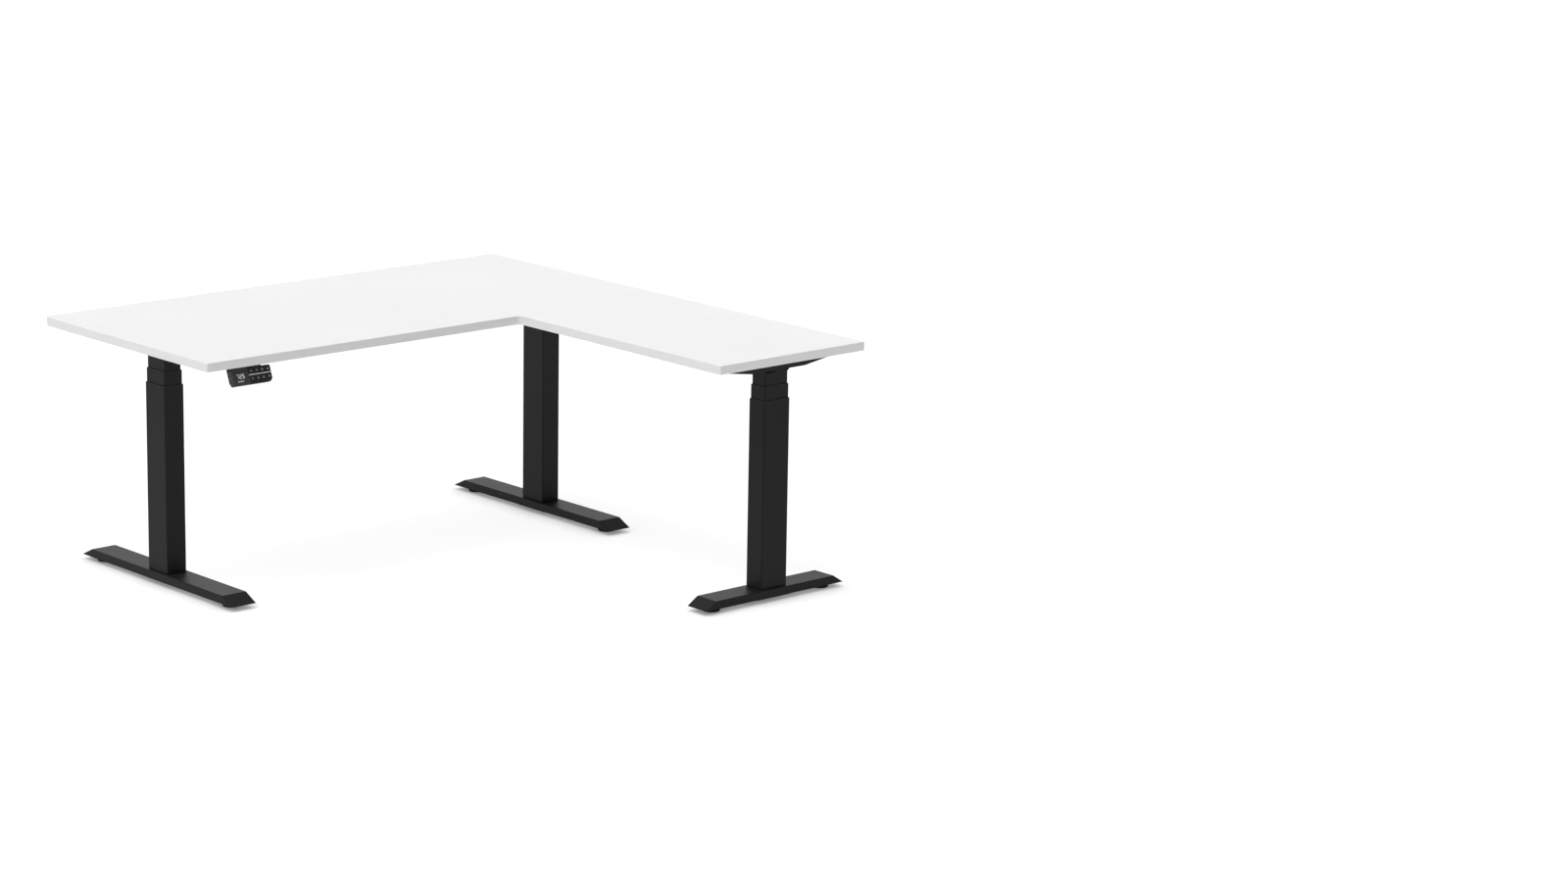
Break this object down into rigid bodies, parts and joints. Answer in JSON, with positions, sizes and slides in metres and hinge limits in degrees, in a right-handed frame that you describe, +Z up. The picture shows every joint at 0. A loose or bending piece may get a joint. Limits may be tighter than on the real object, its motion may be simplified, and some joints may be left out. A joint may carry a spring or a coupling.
{
  "type": "height adjustable standing desk",
  "caption": "L-shaped electric sit-stand desk: white board top on black telescopic columns with bevelled feet and a push-button handset under the front edge.",
  "frame": {"origin": "floor level, under the middle of the rectangle that encloses the L-shaped top", "axes": "+Z up; +X along the main wing towards the corner column; +Y from the near end of the return wing towards the back edge"},
  "size_m": [1.62, 1.68, 0.725],
  "materials": {
    "laminate_top": "white laminate on particle board, fine matt texture",
    "edge_band": "white plastic edge band",
    "powder_coat": "black powder coat, fine texture",
    "guide_plastic": "black moulded nylon",
    "motor_case": "grey motor can",
    "bare_steel": "rolled screw thread, greased",
    "dark_screws": "black zinc",
    "glide_pad": "black moulded pad",
    "box_plastic": "black moulded casing",
    "handset_shell": "black moulded casing",
    "handset_panel": "black panel, satin gloss",
    "handset_window": "smoked window",
    "circuit_board": "green solder resist"
  },
  "bodies": {
    "base": {"foot_left": "powder_coat", "foot_corner": "powder_coat", "foot_return": "powder_coat", "outer_tube_left": "powder_coat", "outer_tube_corner": "powder_coat", "outer_tube_return": "powder_coat", "lower_rings": "guide_plastic", "base_screws": "bare_steel", "clamp_plates": "powder_coat", "foot_bolts": "dark_screws"},
    "desk": {"desktop": "laminate_top", "edge_band": "edge_band", "crossbars_main": "powder_coat", "crossbars_return": "powder_coat", "rail_bolts": "dark_screws", "top_screws": "dark_screws", "side_bracket_left": "powder_coat", "head_left": "powder_coat", "motor_left": "motor_case", "inner_tube_left": "powder_coat", "side_bracket_corner": "powder_coat", "head_corner": "powder_coat", "motor_corner": "motor_case", "inner_tube_corner": "powder_coat", "side_bracket_return": "powder_coat", "head_return": "powder_coat", "motor_return": "motor_case", "inner_tube_return": "powder_coat", "control_box": "box_plastic", "handset_bracket": "powder_coat", "handset_face": "handset_panel", "handset_display": "handset_window", "handset_case": "handset_shell", "handset_board": "circuit_board"},
    "stage_left": {"middle_tube_left": "powder_coat", "upper_ring_left": "guide_plastic"},
    "stage_corner": {"middle_tube_corner": "powder_coat", "upper_ring_corner": "guide_plastic"},
    "stage_return": {"middle_tube_return": "powder_coat", "upper_ring_return": "guide_plastic"},
    "sleeve_left": {"drive_sleeve_left": "bare_steel"},
    "screw_left": {"middle_screw_left": "bare_steel"},
    "sleeve_corner": {"drive_sleeve_corner": "bare_steel"},
    "screw_corner": {"middle_screw_corner": "bare_steel"},
    "sleeve_return": {"drive_sleeve_return": "bare_steel"},
    "screw_return": {"middle_screw_return": "bare_steel"},
    "glide_left_near": {"glide_left_near": "glide_pad"},
    "glide_left_far": {"glide_left_far": "glide_pad"},
    "glide_corner_near": {"glide_corner_near": "glide_pad"},
    "glide_corner_far": {"glide_corner_far": "glide_pad"},
    "glide_return_near": {"glide_return_near": "glide_pad"},
    "glide_return_far": {"glide_return_far": "glide_pad"},
    "key_up": {"key_up": "handset_panel"},
    "key_down": {"key_down": "handset_panel"},
    "key_memory": {"key_memory": "handset_panel"},
    "key_timer": {"key_timer": "handset_panel"},
    "key_one": {"key_one": "handset_panel"},
    "key_two": {"key_two": "handset_panel"},
    "key_three": {"key_three": "handset_panel"},
    "key_four": {"key_four": "handset_panel"}
  },
  "joints": [
    {"name": "desk_lift", "type": "slide", "parent": "base", "child": "desk", "axis": [0, 0, 1], "range_m": [-0.07, 0.575]},
    {"name": "stage_left_lift", "type": "slide", "parent": "base", "child": "stage_left", "axis": [0, 0, 1], "range_m": [-0.035, 0.2875]},
    {"name": "stage_corner_lift", "type": "slide", "parent": "base", "child": "stage_corner", "axis": [0, 0, 1], "range_m": [-0.035, 0.2875]},
    {"name": "stage_return_lift", "type": "slide", "parent": "base", "child": "stage_return", "axis": [0, 0, 1], "range_m": [-0.035, 0.2875]},
    {"name": "sleeve_left_turn", "type": "hinge", "parent": "desk", "child": "sleeve_left", "pos_m": [-0.666, 0.452, 0.3], "axis": [0, 0, 1], "range_deg": [-2101, 17251]},
    {"name": "screw_left_turn", "type": "hinge", "parent": "stage_left", "child": "screw_left", "pos_m": [-0.666, 0.452, 0.3], "axis": [0, 0, 1], "range_deg": [-1051, 8626]},
    {"name": "sleeve_corner_turn", "type": "hinge", "parent": "desk", "child": "sleeve_corner", "pos_m": [0.692, 0.452, 0.3], "axis": [0, 0, 1], "range_deg": [-2101, 17251]},
    {"name": "screw_corner_turn", "type": "hinge", "parent": "stage_corner", "child": "screw_corner", "pos_m": [0.692, 0.452, 0.3], "axis": [0, 0, 1], "range_deg": [-1051, 8626]},
    {"name": "sleeve_return_turn", "type": "hinge", "parent": "desk", "child": "sleeve_return", "pos_m": [0.55, -0.732, 0.3], "axis": [0, 0, 1], "range_deg": [-2101, 17251]},
    {"name": "screw_return_turn", "type": "hinge", "parent": "stage_return", "child": "screw_return", "pos_m": [0.55, -0.732, 0.3], "axis": [0, 0, 1], "range_deg": [-1051, 8626]},
    {"name": "glide_left_near_adjust", "type": "slide", "parent": "base", "child": "glide_left_near", "axis": [0, 0, -1], "range_m": [0, 0.01]},
    {"name": "glide_left_far_adjust", "type": "slide", "parent": "base", "child": "glide_left_far", "axis": [0, 0, -1], "range_m": [0, 0.01]},
    {"name": "glide_corner_near_adjust", "type": "slide", "parent": "base", "child": "glide_corner_near", "axis": [0, 0, -1], "range_m": [0, 0.01]},
    {"name": "glide_corner_far_adjust", "type": "slide", "parent": "base", "child": "glide_corner_far", "axis": [0, 0, -1], "range_m": [0, 0.01]},
    {"name": "glide_return_near_adjust", "type": "slide", "parent": "base", "child": "glide_return_near", "axis": [0, 0, -1], "range_m": [0, 0.01]},
    {"name": "glide_return_far_adjust", "type": "slide", "parent": "base", "child": "glide_return_far", "axis": [0, 0, -1], "range_m": [0, 0.01]},
    {"name": "key_up_press", "type": "slide", "parent": "desk", "child": "key_up", "axis": [0, 0.9336, -0.3584], "range_m": [0, 0.0005], "stiffness_N_per_m": 1500, "springref_m": -0.0006},
    {"name": "key_down_press", "type": "slide", "parent": "desk", "child": "key_down", "axis": [0, 0.9336, -0.3584], "range_m": [0, 0.0005], "stiffness_N_per_m": 1500, "springref_m": -0.0006},
    {"name": "key_memory_press", "type": "slide", "parent": "desk", "child": "key_memory", "axis": [0, 0.9336, -0.3584], "range_m": [0, 0.0005], "stiffness_N_per_m": 1500, "springref_m": -0.0006},
    {"name": "key_timer_press", "type": "slide", "parent": "desk", "child": "key_timer", "axis": [0, 0.9336, -0.3584], "range_m": [0, 0.0005], "stiffness_N_per_m": 1500, "springref_m": -0.0006},
    {"name": "key_one_press", "type": "slide", "parent": "desk", "child": "key_one", "axis": [0, 0.9336, -0.3584], "range_m": [0, 0.0005], "stiffness_N_per_m": 1500, "springref_m": -0.0006},
    {"name": "key_two_press", "type": "slide", "parent": "desk", "child": "key_two", "axis": [0, 0.9336, -0.3584], "range_m": [0, 0.0005], "stiffness_N_per_m": 1500, "springref_m": -0.0006},
    {"name": "key_three_press", "type": "slide", "parent": "desk", "child": "key_three", "axis": [0, 0.9336, -0.3584], "range_m": [0, 0.0005], "stiffness_N_per_m": 1500, "springref_m": -0.0006},
    {"name": "key_four_press", "type": "slide", "parent": "desk", "child": "key_four", "axis": [0, 0.9336, -0.3584], "range_m": [0, 0.0005], "stiffness_N_per_m": 1500, "springref_m": -0.0006}
  ],
  "couplings": [
    {"joint": "stage_left_lift", "follows": "desk_lift", "ratio": 0.5},
    {"joint": "stage_corner_lift", "follows": "desk_lift", "ratio": 0.5},
    {"joint": "stage_return_lift", "follows": "desk_lift", "ratio": 0.5},
    {"joint": "sleeve_left_turn", "follows": "desk_lift", "rad_per_m": 523.6},
    {"joint": "screw_left_turn", "follows": "desk_lift", "rad_per_m": 261.8},
    {"joint": "sleeve_corner_turn", "follows": "desk_lift", "rad_per_m": 523.6},
    {"joint": "screw_corner_turn", "follows": "desk_lift", "rad_per_m": 261.8},
    {"joint": "sleeve_return_turn", "follows": "desk_lift", "rad_per_m": 523.6},
    {"joint": "screw_return_turn", "follows": "desk_lift", "rad_per_m": 261.8}
  ]
}
